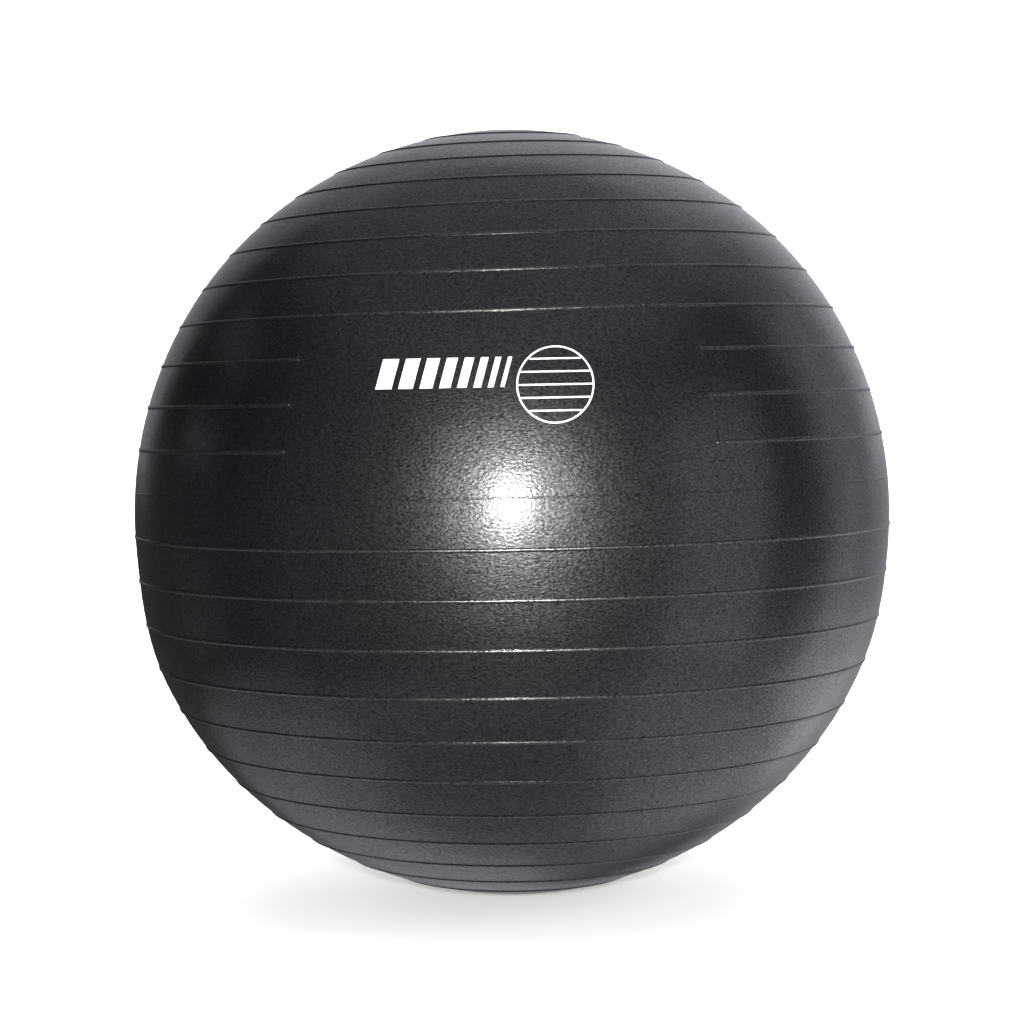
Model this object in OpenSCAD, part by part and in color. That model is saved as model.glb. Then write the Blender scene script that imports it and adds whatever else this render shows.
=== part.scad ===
// Inflatable exercise ball: a hollow moulded skin with raised grip ribs, a valve seat
// welded into its crown, a push-in stopper plug and a printed mark on the front panel.
// The ball stands on the plane z = 0, its crown points along +Z and its panel faces -Y.

/* [Ball] */
// Height of the inflated ball from the floor to the crown
ball_h = 650; // [450:10:850]
// Width across the middle as a share of the height
slimness = 0.985; // [0.975:0.005:1]
// Thickness of the inflated skin
wall = 0.8; // [0.8:0.1:1.4]
// Radius of the flat patch that rests on the floor
contact_r = 32; // [20:1:50]

/* [Ribs] */
// Radius of a rib's round section
rib_r = 0.75; // [0.6:0.05:0.75]
// How far a rib stands out of the skin
rib_rise = 0.8; // [0.8:0.05:1]
// Number of ribs above the parting seam
ribs_above = 11; // [5:1:11]
// Number of ribs below the parting seam
ribs_below = 11; // [5:1:11]
// Angle from one rib to the next above the seam
pitch_above = 6.6; // [5:0.05:6.8]
// Angle from one rib to the next below the seam
pitch_below = 6.95; // [5:0.05:7.2]

/* [Parting seam] */
// Angle of the seam above the middle of the ball
seam_angle = 4.65; // [0:0.05:6]
// Radius of the seam's fine bead
seam_r = 0.3; // [0.2:0.05:0.35]

/* [Front panel] */
// Half the angle round the axis that the smooth panel takes up
panel_half_angle = 31.5; // [20:0.5:40]
// Number of ribs that stop at the panel, counted up from the seam
panel_ribs = 3; // [1:1:4]

/* [Valve seat] */
// Radius of the bore that holds the plug
bore_r = 4.5; // [4:0.1:5]
// Outer radius of the tube around the bore
boss_r = 7.5; // [7:0.5:9]
// Depth of the seat below the crown
seat_l = 15; // [12:1:16]
// Radius of the collar that fills the hole in the skin
collar_r = 14; // [13:0.5:16]
// Radius of the flange welded under the skin
flange_r = 20; // [18:1:30]
// Thickness of the flange
flange_t = 1.4; // [1:0.1:2]
// Radius of the dish around the plug's head
dish_r = 11; // [10.5:0.5:12]
// Depth of the dish below the crown
dish_d = 2.4; // [2.4:0.1:3]

/* [Plug] */
// Radius of the plug's head
head_r = 9.6; // [8:0.2:10]
// Thickness of the plug's head
head_t = 1.9; // [1.6:0.1:2]
// Radius of the stem between its sealing rings
stem_r = 3.9; // [3.4:0.1:4]
// Length of the stem from the head to the tip
stem_l = 22; // [19:1:26]
// Number of sealing rings
seal_rings = 3; // [2:1:3]
// Distance from one sealing ring to the next
ring_pitch = 3.6; // [3:0.1:3.8]
// Radius of the hollow in the stem
hollow_r = 2; // [1:0.1:2.2]
// Depth of the hollow from the tip
hollow_l = 15; // [8:1:17]

/* [Printed mark] */
// Height of the mark's middle above the middle of the ball
mark_rise = 119; // [100:1:130]
// Height of the slanted bars
bar_h = 22.5; // [15:0.5:30]
// Number of slanted bars
bars = 8; // [3:1:8]
// Width of the first bar
bar_w = 12.5; // [8:0.5:14]
// How much narrower each bar is than the one before it
bar_step = 1.35; // [0.5:0.05:1.4]
// Gap between two bars
bar_gap = 5; // [3:0.5:6]
// Outer radius of the ringed disc
disc_r = 29; // [20:1:32]
// Width of the disc's lines
line_w = 1.3; // [1:0.1:2]

/* [Hidden] */
$fn = 180;

// The ball's outline is one arc whose centre lies a little beyond the axis, so that the
// ball is slightly taller than it is wide. Half its height is such that the arc runs
// through the crown and through the edge of the flat patch.
off_axis = (1 / slimness - slimness) / 2;
half_h = (ball_h * ball_h + contact_r * contact_r) / (ball_h - contact_r * off_axis) / 2;
half_w = half_h * slimness;
arc_x = half_h * off_axis;
arc_r = half_w + arc_x;
mid_z = ball_h - half_h;

// The weld between seat and skin, and the clearances of the plug
weld_gap = 0.02;
ring_clear = 0.05;
head_clear = 0.05;
ring_round = 1;
tip_l = 5;
tip_r = 2.8;
head_z = ball_h - dish_d + head_clear;

// The ink layer, the slant of its bars and the places of its bars and disc
ink_t = 0.1;
ink_gap = 0.02;
bar_slant = 15;
mark_x = -92;
mark_z = mid_z + mark_rise;
disc_x = 43;
disc_drop = 10;
disc_lines = 5;
ink_band = 1.3 * disc_r + disc_drop;

// Point of the arc at an angle above the middle, as radius and height
function arc_point(angle) = [arc_r * cos(angle) - arc_x, mid_z + arc_r * sin(angle)];

// Centre of a bead of radius r that stands out of the skin by rise
function bead_point(angle, r, rise) =
    arc_point(angle) + (rise - r) * [cos(angle), sin(angle)];

// Left edge of a slanted bar, counted from the first one
function bar_x(i) = i == 0 ? 0 : bar_x(i - 1) + bar_w - (i - 1) * bar_step + bar_gap;

// Half of the ball's outline, drawn in from its outer surface and its flat patch
module outline(inset) {
    intersection() {
        translate([-arc_x, mid_z]) circle(r = arc_r - inset);
        translate([0, inset]) square(ball_h);
    }
}

module bead(angle, r, rise) {
    translate(bead_point(angle, r, rise)) circle(r = r, $fn = 32);
}

// All beads that run the whole way round
module ring_beads() {
    bead(seam_angle, seam_r, seam_r);
    for (i = [panel_ribs + 1:ribs_above])
        bead(seam_angle + i * pitch_above, rib_r, rib_rise);
    for (i = [1:ribs_below])
        bead(seam_angle - i * pitch_below, rib_r, rib_rise);
}

// A rib that stops at both sides of the front panel
module panel_rib(angle) {
    rotate(panel_half_angle - 90)
        rotate_extrude(angle = 360 - 2 * panel_half_angle)
            bead(angle, rib_r, rib_rise);
}

module ball_skin() {
    color("#232428") {
        rotate_extrude()
            difference() {
                union() {
                    outline(0);
                    ring_beads();
                }
                outline(wall);
                translate([0, mid_z]) square([collar_r, ball_h]);
            }
        for (i = [1:panel_ribs])
            panel_rib(seam_angle + i * pitch_above);
    }
}

module valve_seat() {
    color("#232427")
        rotate_extrude()
            difference() {
                union() {
                    intersection() {
                        outline(0);
                        translate([0, ball_h - seat_l]) square([boss_r, seat_l]);
                    }
                    intersection() {
                        outline(0);
                        translate([0, ball_h - dish_d - flange_t])
                            square([collar_r - weld_gap, ball_h]);
                    }
                    intersection() {
                        difference() {
                            outline(wall + weld_gap);
                            outline(wall + weld_gap + flange_t);
                        }
                        translate([0, mid_z]) square([flange_r, ball_h]);
                    }
                }
                translate([0, ball_h - dish_d]) square([dish_r, ball_h]);
                translate([0, mid_z]) square([bore_r, ball_h]);
            }
}

// Round head with a soft edge, its underside at z = 0
module plug_head() {
    edge_r = head_t / 2;
    square([head_r - edge_r, head_t]);
    translate([head_r - edge_r, edge_r]) circle(r = edge_r, $fn = 32);
}

// Stem that hangs from the head, with sealing rings and a tapered tip
module plug_stem() {
    translate([0, tip_l - stem_l]) square([stem_r, stem_l - tip_l + head_t / 2]);
    polygon([[0, -stem_l], [tip_r, -stem_l], [stem_r, tip_l - stem_l], [0, tip_l - stem_l]]);
    for (i = [1:seal_rings])
        translate([bore_r - ring_clear - ring_round, -i * ring_pitch])
            circle(r = ring_round, $fn = 32);
}

module valve_plug() {
    color("#d9d9d6")
        translate([0, 0, head_z])
            rotate_extrude()
                difference() {
                    union() {
                        plug_head();
                        plug_stem();
                    }
                    translate([0, -stem_l - 1]) square([hollow_r, hollow_l + 1]);
                }
}

// Slanted bars that get narrower from left to right
module slanted_bars() {
    for (i = [0:bars - 1]) {
        w = bar_w - i * bar_step;
        lean = bar_h * tan(bar_slant);
        translate([mark_x + bar_x(i), mark_z - bar_h / 2])
            polygon([[0, 0], [w, 0], [w + lean, bar_h], [lean, bar_h]]);
    }
}

// Outlined disc crossed by level lines
module ringed_disc() {
    translate([disc_x, mark_z - disc_drop]) {
        difference() {
            circle(r = disc_r);
            circle(r = disc_r - line_w);
        }
        intersection() {
            circle(r = disc_r - line_w / 2);
            for (i = [1:disc_lines])
                translate([-disc_r, (2 * i / (disc_lines + 1) - 1) * disc_r - line_w / 2])
                    square([2 * disc_r, line_w]);
        }
    }
}

// Thin layer of ink that follows the skin
module printed_mark() {
    color("white")
        intersection() {
            rotate_extrude()
                intersection() {
                    difference() {
                        outline(-ink_gap - ink_t);
                        outline(-ink_gap);
                    }
                    translate([0, mark_z - ink_band]) square([ball_h, 2 * ink_band]);
                }
            rotate([90, 0, 0])
                linear_extrude(height = ball_h) {
                    slanted_bars();
                    ringed_disc();
                }
        }
}

ball_skin();
valve_seat();
valve_plug();
printed_mark();
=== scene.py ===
"""An inflatable exercise ball on a pale studio floor: a ribbed satin PVC skin, the valve seat and stopper plug in its
crown, and a white mark printed on its front panel."""

import math

import bpy
import numpy as np
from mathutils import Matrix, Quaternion, Vector


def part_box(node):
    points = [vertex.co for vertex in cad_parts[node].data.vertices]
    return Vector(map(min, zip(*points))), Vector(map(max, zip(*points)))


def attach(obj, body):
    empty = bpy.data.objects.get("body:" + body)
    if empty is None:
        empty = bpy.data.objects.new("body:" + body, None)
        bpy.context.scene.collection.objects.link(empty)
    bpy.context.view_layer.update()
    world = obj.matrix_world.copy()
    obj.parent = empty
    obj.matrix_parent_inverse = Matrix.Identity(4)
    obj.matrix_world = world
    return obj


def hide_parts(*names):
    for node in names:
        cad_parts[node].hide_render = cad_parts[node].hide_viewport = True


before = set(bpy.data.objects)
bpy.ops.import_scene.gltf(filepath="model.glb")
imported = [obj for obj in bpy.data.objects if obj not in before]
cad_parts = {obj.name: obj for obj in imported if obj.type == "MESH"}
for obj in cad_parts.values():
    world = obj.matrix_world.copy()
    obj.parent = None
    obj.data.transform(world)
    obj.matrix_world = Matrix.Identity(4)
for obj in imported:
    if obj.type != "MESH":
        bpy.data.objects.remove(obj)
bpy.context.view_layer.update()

MM = 0.001

# ---------------------------------------------------------------------------------------------- sizes

# The ball's outline is one arc whose centre lies a little beyond the axis, as in the frame.
PLUG_LOW, PLUG_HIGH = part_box("valve_plug")
SEAT_LOW, SEAT_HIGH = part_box("valve_seat")

CROWN = 650 * MM
CONTACT_R = 32 * MM
WALL = 0.8 * MM
RIB_RISE = 0.8 * MM
RIB_HALF = 1.6 * MM
KNOB_R = 2.2 * MM
KNOB_RISE = 1.0 * MM
SEAM_RISE = 0.12 * MM
SEAM_HALF = 0.75 * MM
HOLE_R = 14 * MM

SLIMNESS = 0.985
OFF_AXIS = (1 / SLIMNESS - SLIMNESS) / 2
HALF_H = (CROWN**2 + CONTACT_R**2) / (CROWN - CONTACT_R * OFF_AXIS) / 2
HALF_W = HALF_H * SLIMNESS
ARC_X = HALF_H * OFF_AXIS
ARC_R = HALF_W + ARC_X
MID_Z = CROWN - HALF_H

# Ribs, as angles above the middle of the ball
SEAM_ANGLE = 4.65
PITCH_ABOVE = 6.6
PITCH_BELOW = 6.95
RIBS = 11
PANEL_RIBS = 3
PANEL_STOP = math.radians(31.5)
FRONT = -math.pi / 2

# The crown's hole and the edge of the contact patch, as angles above the middle
HOLE_ANGLE = math.acos((HOLE_R + ARC_X) / ARC_R)
PATCH_ANGLE = -math.acos((CONTACT_R + ARC_X) / ARC_R)


# ------------------------------------------------------------------------------------- the ball's surface


def bump_between(x, low, peak, high):
    """0 at low and at high, 1 at peak, and smooth in between."""
    t = np.where(x < peak, (x - low) / (peak - low), (high - x) / (high - peak))
    t = np.clip(t, 0, 1)
    return t * t * (3 - 2 * t)


def lean(angle, around):
    """How far a level line of the mould moves up the inflated ball: towards its middle, and fanned out to the right."""
    degrees = np.degrees(angle)
    near_pole = np.clip((85 - np.abs(degrees)) / 25, 0, 1)
    fan = 0.019 * degrees * np.cos(around)
    settle = np.where(degrees > 0, 0.65, 1.15) * np.sin(2 * angle)
    return np.radians(fan - settle) * near_pole


def sag(angle, around):
    """How far the soft skin stands out of the plain arc: fuller shoulders and, most on the left, a fuller belly."""
    degrees = np.degrees(angle)
    belly = 4.9 * MM * bump_between(degrees, -80, -24, -4) * (1 - 0.3 * np.cos(around))
    return belly + 1.5 * MM * bump_between(degrees, 2, 40, 80)


def pillow(angle):
    """Each band between two ribs swells slightly."""
    degrees = np.degrees(angle) - SEAM_ANGLE
    phase = np.where(degrees > 0, degrees / PITCH_ABOVE, degrees / PITCH_BELOW)
    fade = np.clip(np.cos(angle) * 2.5 - 0.4, 0, 1)
    return 0.09 * MM * fade * np.sin(math.pi * phase) ** 2


def bead(angle, middle, half, rise):
    """A bead that runs along one level of the ball, with a round top and a steeper foot at each side."""
    t = np.clip(np.abs(angle - math.radians(middle)) * ARC_R / half, 0, 1)
    return rise * (1 - 0.6 * t**2 - 0.4 * t**6)


def rib_angles():
    """(angle, stops at the front panel) of each rib."""
    above = [(SEAM_ANGLE + i * PITCH_ABOVE, i <= PANEL_RIBS) for i in range(1, RIBS + 1)]
    below = [(SEAM_ANGLE - i * PITCH_BELOW, False) for i in range(1, RIBS + 1)]
    return below[::-1] + above


def beads(angle, around):
    """Height of the ribs and of the parting seam above the skin; ribs that stop at the panel end in a knob."""
    height = bead(angle, SEAM_ANGLE, SEAM_HALF, SEAM_RISE)
    off_front = np.abs(np.arctan2(np.sin(around - FRONT), np.cos(around - FRONT)))
    for middle, stops in rib_angles():
        rib = bead(angle, middle, RIB_HALF, RIB_RISE)
        if stops:
            past_end = (off_front - PANEL_STOP) * ARC_R * math.cos(math.radians(middle))
            rib = rib * np.sqrt(np.clip(past_end / RIB_HALF, 0, 1))
            off_level = np.abs(angle - math.radians(middle)) * ARC_R
            from_end = np.clip(np.hypot(off_level, past_end) / KNOB_R, 0, 1)
            rib = np.maximum(rib, KNOB_RISE * (1 - from_end**2) ** 2)
        height = np.maximum(height, rib)
    return height


def surface(angle, around, lift=0.0, ribbed=True):
    """Points of the skin's outer face, lifted off it by lift."""
    place = angle + lean(angle, around)
    reach = ARC_R + sag(place, around) + pillow(angle) + lift
    if ribbed:
        reach = reach + beads(angle, around)
    ring = reach * np.cos(place) - ARC_X
    height = MID_Z + reach * np.sin(place)
    return np.stack([ring * np.cos(around), ring * np.sin(around), height], axis=-1)


# ------------------------------------------------------------------------------------------ mesh helpers


def new_piece(name, points, faces, smooth=True):
    mesh = bpy.data.meshes.new(name)
    mesh.from_pydata([tuple(p) for p in points], [], faces)
    mesh.validate()
    mesh.polygons.foreach_set("use_smooth", [smooth] * len(mesh.polygons))
    piece = bpy.data.objects.new(name, mesh)
    bpy.context.scene.collection.objects.link(piece)
    return piece


def ring_faces(first, second, count):
    """Quads between two rings of points, given by the index of each ring's first point."""
    return [
        (first + i, first + (i + 1) % count, second + (i + 1) % count, second + i)
        for i in range(count)
    ]


def lathe(name, profile, count=96):
    """A closed outline of (radius, height) points turned about the Z axis."""
    around = np.linspace(0, 2 * math.pi, count, endpoint=False)
    points = [(r * math.cos(a), r * math.sin(a), z) for r, z in profile for a in around]
    faces = []
    for j in range(len(profile)):
        faces += ring_faces(j * count, (j + 1) % len(profile) * count, count)
    piece = new_piece(name, points, faces)
    normals = piece.modifiers.new("even_normals", "WEIGHTED_NORMAL")
    normals.keep_sharp = True
    return piece


def rounded(corners, steps=5):
    """An outline of (x, y, corner radius) with each corner turned into an arc."""
    outline = []
    for i, (x, y, radius) in enumerate(corners):
        here = Vector((x, y))
        before = Vector(corners[i - 1][:2]) - here
        after = Vector(corners[(i + 1) % len(corners)][:2]) - here
        if radius == 0:
            outline.append((x, y))
            continue
        half_angle = before.angle(after) / 2
        reach = radius / math.tan(half_angle)
        start = here + before.normalized() * reach
        end = here + after.normalized() * reach
        middle = here + (before.normalized() + after.normalized()).normalized() * radius / math.sin(half_angle)
        from_middle, to_middle = start - middle, end - middle
        turn = from_middle.angle_signed(to_middle)
        for s in range(steps + 1):
            a = -turn * s / steps
            outline.append((
                middle.x + from_middle.x * math.cos(a) - from_middle.y * math.sin(a),
                middle.y + from_middle.x * math.sin(a) + from_middle.y * math.cos(a),
            ))
    return outline


# ---------------------------------------------------------------------------------------------- the skin


def skin_rows():
    """Angles of the outer face's rows: close together across each bead, wide apart between them."""
    across_rib = np.array([-1.12, -1, -0.9, -0.66, -0.33, 0, 0.33, 0.66, 0.9, 1, 1.12])
    across_seam = np.array([-1.4, -1, -0.5, 0, 0.5, 1, 1.4])
    groups = [math.radians(m) + across_rib * RIB_HALF / ARC_R for m, _ in rib_angles()]
    groups.append(math.radians(SEAM_ANGLE) + across_seam * SEAM_HALF / ARC_R)
    groups.sort(key=lambda g: g[0])
    rows = list(np.linspace(PATCH_ANGLE, groups[0][0], 6)[:-1])
    for group, following in zip(groups, groups[1:] + [None]):
        rows += list(group)
        if following is not None:
            rows += list(np.linspace(group[-1], following[0], 4)[1:-1])
    rows += list(np.linspace(groups[-1][-1], HOLE_ANGLE, 6)[1:])
    return np.array(rows)


def skin_columns():
    """Angles of the columns: evenly spaced, with extra ones across the knobs at the sides of the front panel."""
    columns = list(np.linspace(0, 2 * math.pi, 276, endpoint=False))
    for side in (-1, 1):
        knob = np.linspace(-1, 1.4, 9) * KNOB_R / ARC_R
        columns += list(FRONT + side * (PANEL_STOP + knob))
    return np.array(sorted(c % (2 * math.pi) for c in columns))


def ball_skin():
    """The hollow skin: ribbed outer face, rolled edge round the valve seat, plain inner face and flat patch."""
    columns = skin_columns()
    count = len(columns)
    outer_angle, outer_around = np.meshgrid(skin_rows(), columns, indexing="ij")
    outer = surface(outer_angle, outer_around)
    inner_rows = np.linspace(HOLE_ANGLE, PATCH_ANGLE, 25)
    inner_angle, inner_around = np.meshgrid(inner_rows, columns, indexing="ij")
    inner = surface(inner_angle, inner_around, lift=-WALL, ribbed=False)
    inner[..., 2] = np.maximum(inner[..., 2], WALL)
    rows = [row for row in outer] + [row for row in inner]

    def level_ring(radius, height):
        return np.stack([radius * np.cos(columns), radius * np.sin(columns), np.full(count, height)], -1)

    rows += [level_ring(CONTACT_R / 2, WALL)]
    rows = [level_ring(CONTACT_R / 2, 0.0)] + rows
    rows[1][:, 2] = 0.0
    points = np.concatenate(rows)
    faces = []
    for j in range(len(rows) - 1):
        faces += ring_faces(j * count, (j + 1) * count, count)
    below, above = len(points), len(points) + 1
    last = (len(rows) - 1) * count
    points = np.concatenate([points, [[0, 0, 0], [0, 0, WALL]]])
    faces += [(below, (i + 1) % count, i) for i in range(count)]
    faces += [(above, last + i, last + (i + 1) % count) for i in range(count)]
    piece = new_piece("ball_skin_visual", points, faces)
    crest = np.zeros(len(points))
    crest[count:count + outer_angle.size] = (beads(outer_angle, outer_around) / RIB_RISE).ravel()
    piece.data.attributes.new("crest", "FLOAT", "POINT").data.foreach_set("value", crest)
    return piece


# ----------------------------------------------------------------------------------------- seat and plug


def arc_height(radius):
    """Height of the crown's outer face at a distance from the axis."""
    return MID_Z + math.sqrt(ARC_R**2 - (radius + ARC_X) ** 2)


def valve_seat():
    """The collar round the plug, its dish, the tube of the bore and the flange under the skin."""
    collar = HOLE_R - 0.02 * MM
    flange = SEAT_HIGH.x
    dish, bore, boss = 11 * MM, 4.5 * MM, 7.5 * MM
    floor = CROWN - 2.4 * MM
    under = WALL + 0.02 * MM
    corners = [
        (bore, SEAT_LOW.z, 0.3 * MM),
        (boss, SEAT_LOW.z, 0.6 * MM),
        (boss, CROWN - 3.4 * MM, 0.5 * MM),
        (flange, arc_height(flange) - under - 1.4 * MM, 0.4 * MM),
        (flange, arc_height(flange) - under, 0.2 * MM),
        (collar, arc_height(collar) - under, 0),
        (collar, arc_height(collar), 0.25 * MM),
        (dish, arc_height(dish), 0.5 * MM),
        (dish, floor, 0.4 * MM),
        (bore, floor, 0.35 * MM),
    ]
    return lathe("valve_seat_visual", rounded(corners))


def valve_plug():
    """The stopper: a round head with a shallow cup and a gate mark, and a hollow stem with sealing rings."""
    under = PLUG_HIGH.z - 1.9 * MM
    tip = PLUG_LOW.z
    head, stem, tip_r, hollow = 9.6 * MM, 3.9 * MM, 2.8 * MM, 2.0 * MM
    ring, pitch = 4.45 * MM, 3.6 * MM
    corners = [
        (0.001 * MM, PLUG_HIGH.z - 0.35 * MM, 0),
        (0.7 * MM, PLUG_HIGH.z - 0.35 * MM, 0.12 * MM),
        (1.0 * MM, PLUG_HIGH.z - 0.75 * MM, 0.12 * MM),
        (5.6 * MM, PLUG_HIGH.z - 0.65 * MM, 0.5 * MM),
        (6.6 * MM, PLUG_HIGH.z, 0.35 * MM),
        (head, PLUG_HIGH.z, 0.7 * MM),
        (head, under, 0.5 * MM),
        (stem, under, 0.3 * MM),
    ]
    for i in range(1, 4):
        z = under - i * pitch
        corners += [
            (stem, z + 1.0 * MM, 0.15 * MM),
            (ring, z + 0.15 * MM, 0.2 * MM),
            (ring, z - 0.25 * MM, 0.2 * MM),
            (stem, z - 1.0 * MM, 0.15 * MM),
        ]
    corners += [
        (stem, tip + 5 * MM, 0.6 * MM),
        (tip_r, tip, 0.35 * MM),
        (hollow, tip, 0.2 * MM),
        (hollow, tip + 14.6 * MM, 0.8 * MM),
        (0.001 * MM, tip + 15 * MM, 0),
    ]
    return lathe("valve_plug_visual", rounded(corners)[::-1])


# --------------------------------------------------------------------------------------- the printed mark


def on_front(x, z, lift):
    """The point of the skin's front face at x and z, lifted off it."""
    ring = HALF_W
    reach = ARC_R
    for _ in range(8):
        around = -math.acos(x / ring)
        place = math.asin((z - MID_Z) / reach)
        angle = place - float(lean(place, around))
        reach = ARC_R + float(sag(place, around)) + float(pillow(angle)) + lift
        ring = reach * math.cos(place) - ARC_X
    return (x, -math.sqrt(ring**2 - x**2), z)


def ink_patch(grid):
    """A thin closed layer of ink over a grid of (x, z) points, given as rows of equal length."""
    high, wide = len(grid), len(grid[0])
    points, faces = [], []
    for lift in (0.02 * MM, 0.12 * MM):
        points += [on_front(x, z, lift) for row in grid for x, z in row]

    def at(layer, j, i):
        return layer * high * wide + j * wide + i

    for j in range(high - 1):
        for i in range(wide - 1):
            quad = [(j, i), (j, i + 1), (j + 1, i + 1), (j + 1, i)]
            faces.append([at(1, *c) for c in quad])
            faces.append([at(0, *c) for c in reversed(quad)])
    border = [(0, i) for i in range(wide)] + [(j, wide - 1) for j in range(1, high)]
    border += [(high - 1, i) for i in range(wide - 2, -1, -1)] + [(j, 0) for j in range(high - 2, 0, -1)]
    for a, b in zip(border, border[1:] + border[:1]):
        faces.append([at(0, *a), at(0, *b), at(1, *b), at(1, *a)])
    return points, faces


def ink_ring(x, z, outer, inner, steps=96):
    """A closed ring of ink about (x, z)."""
    points, faces = [], []
    for i in range(steps):
        c, s = math.cos(2 * math.pi * i / steps), math.sin(2 * math.pi * i / steps)
        for radius, lift in ((outer, 0.02), (outer, 0.12), (inner, 0.12), (inner, 0.02)):
            points.append(on_front(x + radius * c, z + radius * s, lift * MM))
    for i in range(steps):
        a, b = 4 * i, 4 * ((i + 1) % steps)
        for k in range(4):
            faces.append([a + k, a + (k + 1) % 4, b + (k + 1) % 4, b + k])
    return points, faces


def printed_mark():
    """Slanted bars that get narrower from left to right, and an outlined disc crossed by level lines."""
    bar_h, slant = 22.5 * MM, math.tan(math.radians(15))
    middle = MID_Z + 119 * MM
    parts = []
    x = -92 * MM
    for i in range(8):
        width = (12.5 - 1.35 * i) * MM
        grid = []
        for t in np.linspace(0, 1, 7):
            lean = t * bar_h * slant
            z = middle - bar_h / 2 + t * bar_h
            grid.append([(x + lean + width * s, z) for s in np.linspace(0, 1, 4)])
        parts.append(ink_patch(grid))
        x += width + 5 * MM
    disc_r, line, disc_x, disc_z = 29 * MM, 1.3 * MM, 43 * MM, middle - 10 * MM
    parts.append(ink_ring(disc_x, disc_z, disc_r, disc_r - line))
    for i in range(1, 6):
        off = (i / 3 - 1) * disc_r
        half = math.sqrt((disc_r - line) ** 2 - (abs(off) + line / 2) ** 2)
        low, high = disc_z + off - line / 2, disc_z + off + line / 2
        across = [disc_x + half * s for s in np.linspace(-1, 1, 17)]
        parts.append(ink_patch([[(a, low) for a in across], [(a, high) for a in across]]))
    points, faces = [], []
    for part_points, part_faces in parts:
        faces += [[k + len(points) for k in f] for f in part_faces]
        points += part_points
    return new_piece("printed_mark_visual", points, faces, smooth=False)


# ---------------------------------------------------------------------------------------------- materials


class Nodes:
    """A node tree with short calls to add and join nodes."""

    def __init__(self, owner):
        owner.use_nodes = True
        self.tree = owner.node_tree

    def add(self, kind, **values):
        """A new node; a value sets the node's own setting of that name, or else the input of that name."""
        node = self.tree.nodes.new(kind)
        for key, value in values.items():
            if hasattr(node, key):
                setattr(node, key, value)
            else:
                node.inputs[key.replace("_", " ")].default_value = value
        return node

    def join(self, source, target):
        """Joins an output to an input, or writes a plain value into the input."""
        if isinstance(source, bpy.types.NodeSocket):
            self.tree.links.new(source, target)
        else:
            target.default_value = source

    def sum_up(self, operation, *values):
        """One math node, or a row of them if there are more than two values."""
        total = values[0]
        for value in values[1:] or [None]:
            node = self.add("ShaderNodeMath", operation=operation)
            self.join(total, node.inputs[0])
            if value is not None:
                self.join(value, node.inputs[1])
            total = node.outputs[0]
        return total

    def noise(self, scale, detail=2.0, roughness=0.5, flatten=1.0):
        """Noise in the piece's own metres; flatten makes its cells wider than they are tall."""
        node = self.add("ShaderNodeTexNoise", Scale=scale, Detail=detail, Roughness=roughness)
        squash = self.add("ShaderNodeVectorMath", operation="MULTIPLY")
        squash.inputs[1].default_value = (1, 1, flatten)
        self.join(self.add("ShaderNodeTexCoord").outputs["Object"], squash.inputs[0])
        self.join(squash.outputs[0], node.inputs["Vector"])
        return node.outputs["Fac"]

    def crest(self):
        """How far a point stands up on a rib: 0 on the plain skin and 1 on the rib's top."""
        return self.add("ShaderNodeAttribute", attribute_name="crest").outputs["Fac"]

    def ramp(self, source, low, high, at=(0.3, 0.7)):
        """A mix of two colours or values by source, between the two places in at."""
        node = self.add("ShaderNodeValToRGB")
        for stop, place, value in zip(node.color_ramp.elements, at, (low, high)):
            stop.position = place
            stop.color = (*value, 1) if isinstance(value, tuple) else (value, value, value, 1)
        self.join(source, node.inputs["Fac"])
        return node.outputs["Color"]

    def bump(self, height, distance, normal=None):
        """A normal bent by a height that runs from 0 to 1, worth distance."""
        node = self.add("ShaderNodeBump", Distance=distance)
        self.join(height, node.inputs["Height"])
        if normal is not None:
            self.join(normal, node.inputs["Normal"])
        return node.outputs["Normal"]


def finish(name, **inputs):
    """A new material: gives its nodes to work with, and a call that feeds the shader's inputs."""
    material = bpy.data.materials.new(name)
    m = Nodes(material)
    shader = m.tree.nodes["Principled BSDF"]

    def feed(**sources):
        for key, source in sources.items():
            m.join(source, shader.inputs[key.replace("_", " ")])
        return material

    feed(**inputs)
    return m, feed


def skin_material():
    """Black satin PVC: a clear low gloss over a softer one, both broken up by a fine leathery grain."""
    m, feed = finish("black_satin_pvc", Coat_IOR=1.5)
    speckle = m.noise(420, 1, flatten=1.5)
    tone = m.ramp(speckle, (0.0016, 0.0016, 0.0026), (0.0044, 0.0046, 0.0062))
    gloss = m.ramp(m.noise(440, 1, flatten=1.5), 0.07, 0.35)
    rib_gloss = m.ramp(m.crest(), 1.0, 3.0, at=(0.5, 0.95))
    coat = m.ramp(speckle, 0.20, 0.50)
    rib_coat = m.ramp(m.crest(), 1.0, 0.12, at=(0.0, 0.3))
    rough = m.ramp(m.noise(8, 4), 0.37, 0.41)
    coat_rough = m.ramp(m.noise(7, 3), 0.12, 0.16)
    wavy = m.bump(m.noise(12, 2), 1.0 * MM)
    fine = m.bump(m.noise(1100, 1), 0.03 * MM, wavy)
    grain = m.bump(m.noise(400, 2, flatten=1.5), 0.22 * MM, fine)
    coat_grain = m.bump(m.noise(400, 2, flatten=1.5), 0.16 * MM, wavy)
    feed(Base_Color=tone, Roughness=rough, Normal=grain)
    feed(Specular_IOR_Level=m.sum_up("MULTIPLY", gloss, rib_gloss))
    feed(Coat_Weight=m.sum_up("MULTIPLY", coat, rib_coat))
    return feed(Coat_Roughness=coat_rough, Coat_Normal=coat_grain)


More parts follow.
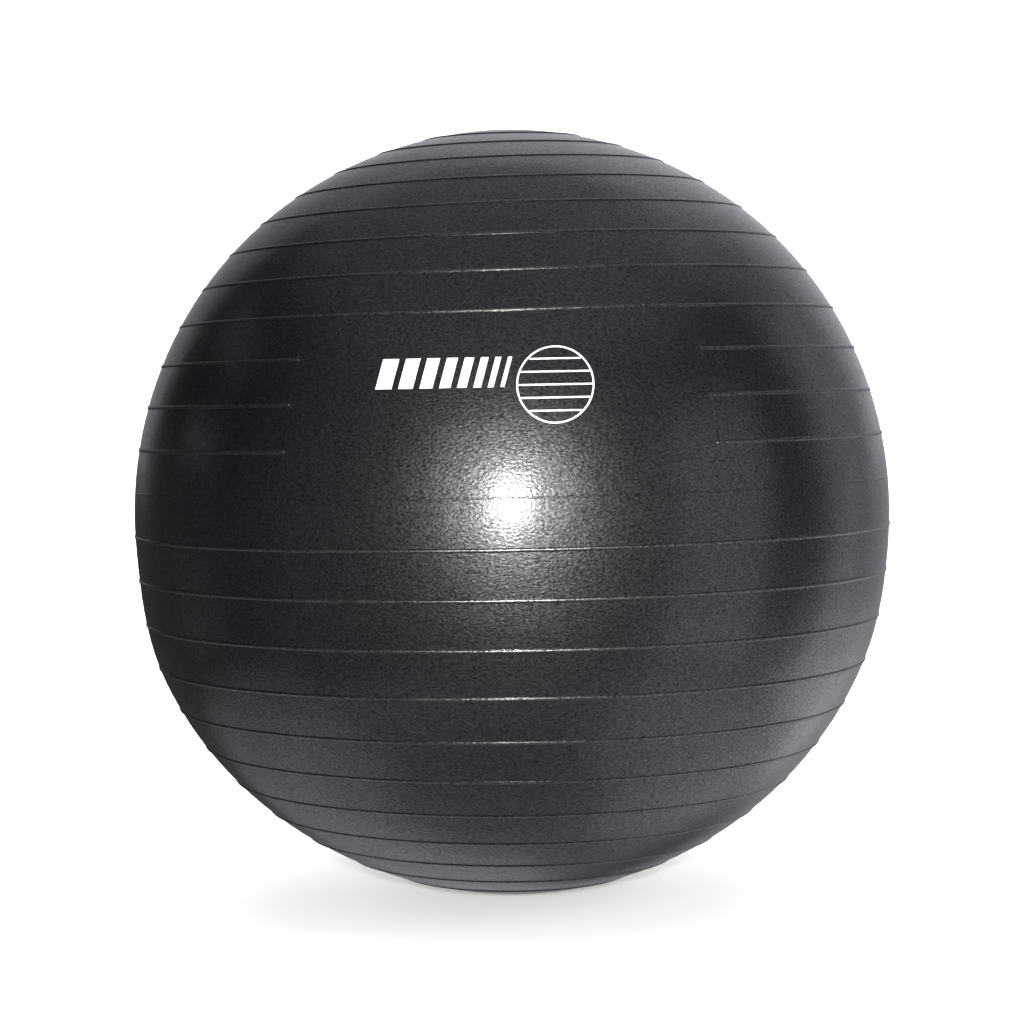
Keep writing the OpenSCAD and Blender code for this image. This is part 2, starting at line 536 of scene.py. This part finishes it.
def seat_material():
    """Smooth black soft PVC with faint turning marks."""
    m, feed = finish("black_soft_pvc")
    tone = m.ramp(m.noise(220, 3), (0.010, 0.010, 0.011), (0.017, 0.017, 0.018))
    rough = m.ramp(m.noise(400, 3), 0.34, 0.48)
    return feed(Base_Color=tone, Roughness=rough, Normal=m.bump(m.noise(1400, 2), 0.03 * MM))


def plug_material():
    """Milky white soft plastic, slightly see-through, with a fine matt grain."""
    m, feed = finish("milky_plastic", Subsurface_Weight=0.3, Subsurface_Scale=1.2 * MM)
    feed(Subsurface_Radius=(1, 0.9, 0.8))
    tone = m.ramp(m.noise(180, 3), (0.40, 0.40, 0.385), (0.46, 0.46, 0.445))
    rough = m.ramp(m.noise(500, 3), 0.38, 0.5)
    return feed(Base_Color=tone, Roughness=rough, Normal=m.bump(m.noise(1600, 2), 0.02 * MM))


def ink_material():
    """Opaque white screen-print ink that shows the skin's grain faintly."""
    m, feed = finish("white_ink")
    tone = m.ramp(m.noise(900, 3), (0.62, 0.62, 0.62), (0.78, 0.78, 0.78), (0.25, 0.45))
    rough = m.ramp(m.noise(300, 2), 0.45, 0.58)
    return feed(Base_Color=tone, Roughness=rough, Normal=m.bump(m.noise(430, 2), 0.12 * MM))


def stage_material():
    """Matt pale paper with a faint light from below."""
    feed = finish("pale_paper", Roughness=0.9, Specular_IOR_Level=0.1)[1]
    feed(Emission_Color=(1, 1, 1, 1), Emission_Strength=0.4)
    return feed(Base_Color=(0.86, 0.86, 0.86, 1))


# --------------------------------------------------------------------------------------------- the studio


def area_light(name, place, target, size, power, colour=(1, 1, 1), shape="RECTANGLE"):
    light = bpy.data.lights.new(name, "AREA")
    light.shape = shape
    light.size, light.size_y = size
    light.energy = power
    light.color = colour
    lamp = bpy.data.objects.new(name, light)
    lamp.location = place
    lamp.rotation_euler = (Vector(target) - Vector(place)).to_track_quat("-Z", "Y").to_euler()
    bpy.context.scene.collection.objects.link(lamp)
    lamp.visible_camera = False
    return lamp


def narrow_beam(light, full, none):
    """Full light up to one angle from the light's axis, in degrees, and none beyond the other."""
    m = Nodes(light)
    geometry = m.add("ShaderNodeNewGeometry")
    facing = m.add("ShaderNodeVectorMath", operation="DOT_PRODUCT")
    m.join(geometry.outputs["Incoming"], facing.inputs[0])
    m.join(geometry.outputs["Normal"], facing.inputs[1])
    fade = m.add("ShaderNodeMapRange", interpolation_type="SMOOTHSTEP")
    m.join(m.sum_up("ABSOLUTE", facing.outputs["Value"]), fade.inputs["Value"])
    fade.inputs["From Min"].default_value = math.cos(math.radians(none))
    fade.inputs["From Max"].default_value = math.cos(math.radians(full))
    m.join(fade.outputs[0], m.tree.nodes["Emission"].inputs["Strength"])


def backdrop():
    """A pale floor that curves up into a wall behind the ball."""
    wide, front, back, tall, bend = 6.0, -5.0, 3.2, 3.6, 1.0
    line = [(front, 0.0), (back - bend, 0.0)]
    for i in range(1, 13):
        a = math.pi / 2 * i / 12
        line.append((back - bend + bend * math.sin(a), bend - bend * math.cos(a)))
    line.append((back, tall))
    points = [(x, y, z - 0.2 * MM) for y, z in line for x in (-wide, wide)]
    faces = [(2 * i, 2 * i + 1, 2 * i + 3, 2 * i + 2) for i in range(len(line) - 1)]
    sweep = new_piece("studio_sweep", points, faces)
    sweep.data.materials.append(stage_material())
    sweep.visible_glossy = False


# What the satin skin mirrors: soft panels of light, as a direction seen from the ball, in degrees.
# Azimuth 0 is in front of the ball and 90 to its right. Each panel is
# (azimuth, half width, soft edge, elevation, half height, soft edge, strength).
ROUND = 360
PANELS = [
    (0, ROUND, 1, -90, 50, 12, 0.64),       # pale floor
    (98, 52, 25, -46, 24, 14, 0.92),        # brighter floor on the right
    (-128, 54, 8, -45, 19, 8, 0.56),        # and on the left
    (180, 60, 40, -52, 14, 10, -0.20),      # the ball's own shadow behind it
    (0, ROUND, 1, 90, 45, 16, 0.40),        # ceiling
    (0, ROUND, 1, 90, 25, 16, 0.25),        # its middle
    (75, 65, 22, 62, 13, 14, 0.22),         # soft box above right
    (180, 38, 5, 25, 25, 4, 0.44),          # backdrop
    (180, 22, 14, 25, 22, 10, 0.15),        # its bright middle
    (148, 41, 16, 12, 42, 14, 0.52),        # wall on the right
    (128, 25, 14, -24, 12, 8, 0.65),        # glow along its foot
    (67, 16, 8, -3, 27, 8, 1.25),           # tall soft box
    (118, 9, 6, -2, 32, 8, 0.50),           # a second one behind it
    (6, 79, 40, 4, 58, 25, 0.30),           # dim room behind the camera
    (-115, 50, 30, -8, 14, 10, 0.08),       # dim wall on the left
    (-111, 13, 4, 29, 5, 3, 0.28),          # dim openings in it
    (-108, 10, 4, 11, 4, 3, 0.40),
    (-108, 13, 5, -13, 6, 4, 0.16),
]


def surroundings():
    """White to the camera, dim fill for the floor, and the soft panels in the skin's gloss."""
    world = bpy.data.worlds.new("studio_world")
    bpy.context.scene.world = world
    m = Nodes(world)
    split = m.add("ShaderNodeSeparateXYZ")
    m.join(m.add("ShaderNodeTexCoord").outputs["Generated"], split.inputs[0])
    x, y, z = split.outputs
    turn = m.sum_up("DEGREES", m.sum_up("ARCTAN2", x, m.sum_up("MULTIPLY", y, -1.0)))
    rise = m.sum_up("DEGREES", m.sum_up("ARCSINE", z))

    def within(angle, middle, half, edge):
        off = m.add("ShaderNodeMath", operation="WRAP")
        m.join(m.sum_up("SUBTRACT", angle, float(middle)), off.inputs[0])
        off.inputs[1].default_value = 180
        off.inputs[2].default_value = -180
        fade = m.add("ShaderNodeMapRange", interpolation_type="SMOOTHSTEP")
        m.join(m.sum_up("ABSOLUTE", off.outputs[0]), fade.inputs["Value"])
        fade.inputs["From Min"].default_value = half + edge / 2
        fade.inputs["From Max"].default_value = half - edge / 2
        return fade.outputs[0]

    glows = [
        m.sum_up("MULTIPLY", within(turn, *panel[0:3]), within(rise, *panel[3:6]), panel[6])
        for panel in PANELS
    ]
    path = m.add("ShaderNodeLightPath")
    mirrored = m.add("ShaderNodeMix", data_type="FLOAT", A=0.42)
    m.join(path.outputs["Is Glossy Ray"], mirrored.inputs["Factor"])
    m.join(m.sum_up("ADD", *glows), mirrored.inputs["B"])
    seen = m.add("ShaderNodeMix", data_type="FLOAT", B=1.1)
    m.join(path.outputs["Is Camera Ray"], seen.inputs["Factor"])
    m.join(mirrored.outputs["Result"], seen.inputs["A"])
    background = m.tree.nodes["Background"]
    background.inputs["Color"].default_value = (0.94, 0.97, 1.03, 1)
    m.join(seen.outputs["Result"], background.inputs["Strength"])


def studio(camera_place):
    middle = (0, 0, MID_Z)
    soft = [
        area_light("soft_top", (0.2, 0.3, 3.0), middle, (3.0, 3.0), 95),
        area_light("soft_right", (3.0, -0.9, 1.2), middle, (1.0, 2.4), 40),
        area_light("soft_left", (-3.0, 1.6, 1.2), middle, (0.8, 2.4), 22),
        area_light("wall_light", (0, 1.2, 3.2), (0, 3.2, 1.2), (4.0, 0.6), 70),
    ]
    flash = Vector(camera_place) + Vector((0.0, 0.0, 0.1))
    soft.append(area_light("flash_fill", flash, middle, (0.10, 0.10), 52, shape="DISK"))
    for lamp in soft:
        lamp.visible_glossy = False
    glint = area_light("flash_glint", flash, middle, (0.10, 0.10), 160, shape="DISK")
    glint.visible_diffuse = False
    narrow_beam(glint.data, 3.9, 7.2)
    surroundings()


def camera():
    """Looks at the middle of the ball from just above it, with a slight roll."""
    azimuth, rise, roll = math.radians(1.7), math.radians(2.8), math.radians(1.13)
    distance = 6.93 * (HALF_H + HALF_W) / 2
    back = Vector((math.sin(azimuth) * math.cos(rise), -math.cos(azimuth) * math.cos(rise), math.sin(rise)))
    data = bpy.data.cameras.new("camera")
    data.sensor_width = 36
    data.lens = 91.7
    rig = bpy.data.objects.new("camera", data)
    rig.rotation_mode = "QUATERNION"
    rig.rotation_quaternion = (-back).to_track_quat("-Z", "Y") @ Quaternion((0, 0, 1), -roll)
    rig.location = Vector((0, 0, MID_Z)) + back * distance
    bpy.context.scene.collection.objects.link(rig)
    bpy.context.scene.camera = rig
    return rig.location


# ------------------------------------------------------------------------------------------------ assembly


def dress(piece, body, node, material):
    piece.data.materials.append(material)
    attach(piece, body)
    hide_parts(node)


dress(ball_skin(), "ball", "ball_skin", skin_material())
dress(valve_seat(), "ball", "valve_seat", seat_material())
dress(valve_plug(), "plug", "valve_plug", plug_material())
dress(printed_mark(), "ball", "printed_mark", ink_material())
backdrop()
studio(camera())
bpy.context.scene.view_settings.view_transform = "Standard"
